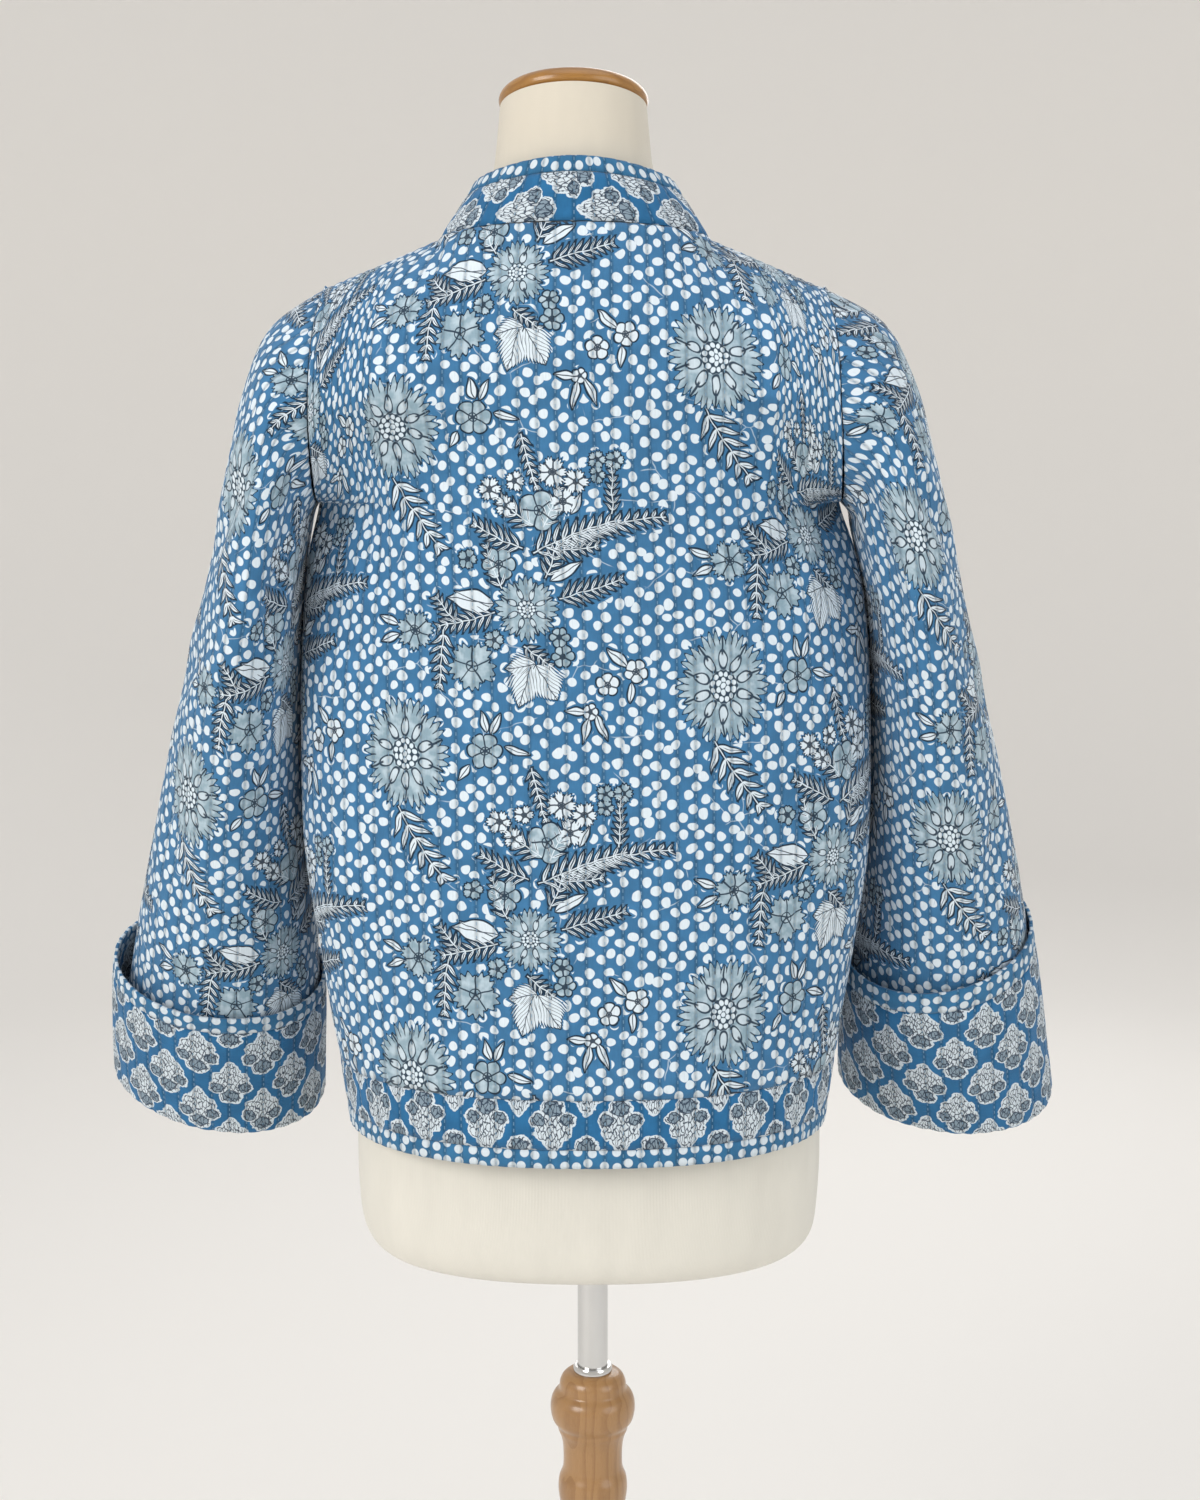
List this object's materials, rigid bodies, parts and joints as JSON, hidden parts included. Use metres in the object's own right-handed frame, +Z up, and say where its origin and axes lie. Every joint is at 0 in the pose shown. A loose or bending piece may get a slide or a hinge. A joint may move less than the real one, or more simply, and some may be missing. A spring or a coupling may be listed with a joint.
{
  "type": "happi coat on dress form",
  "caption": "Quilted block-printed jacket of happi cut with turned-back cuffs and band collar, worn by a limbless dress form on a turned wooden tripod stand.",
  "frame": {"origin": "on the floor, on the axis of the pole, in the middle of the three feet", "axes": "+Z up along the pole, +Y the way the form and the coat face, +X the wearer's right"},
  "size_m": [0.7967, 0.437, 1.5278],
  "materials": {
    "printed_cotton": "matt block-printed cotton, quilted",
    "contrast_cotton": "matt block-printed cotton, quilted",
    "dotted_cotton": "matt block-printed cotton",
    "jersey": "matt fine-rib jersey",
    "honey_wood": "satin lacquer",
    "maple_wood": "satin lacquer",
    "chrome": "polished"
  },
  "bodies": {
    "root": {"coat_back": "printed_cotton", "coat_front_left": "printed_cotton", "coat_front_right": "printed_cotton", "sleeve_left": "printed_cotton", "sleeve_right": "printed_cotton", "cuff_left": "contrast_cotton", "cuff_right": "contrast_cotton", "cuff_edge_left": "dotted_cotton", "cuff_edge_right": "dotted_cotton", "collar_band": "contrast_cotton", "collar_edge": "dotted_cotton", "hem_band": "contrast_cotton", "hem_edge": "dotted_cotton", "form_torso": "jersey", "neck_cap": "honey_wood", "pole": "chrome", "pole_ring": "chrome", "post": "maple_wood", "leg_1": "maple_wood", "leg_2": "maple_wood", "leg_3": "maple_wood"}
  },
  "joints": []
}
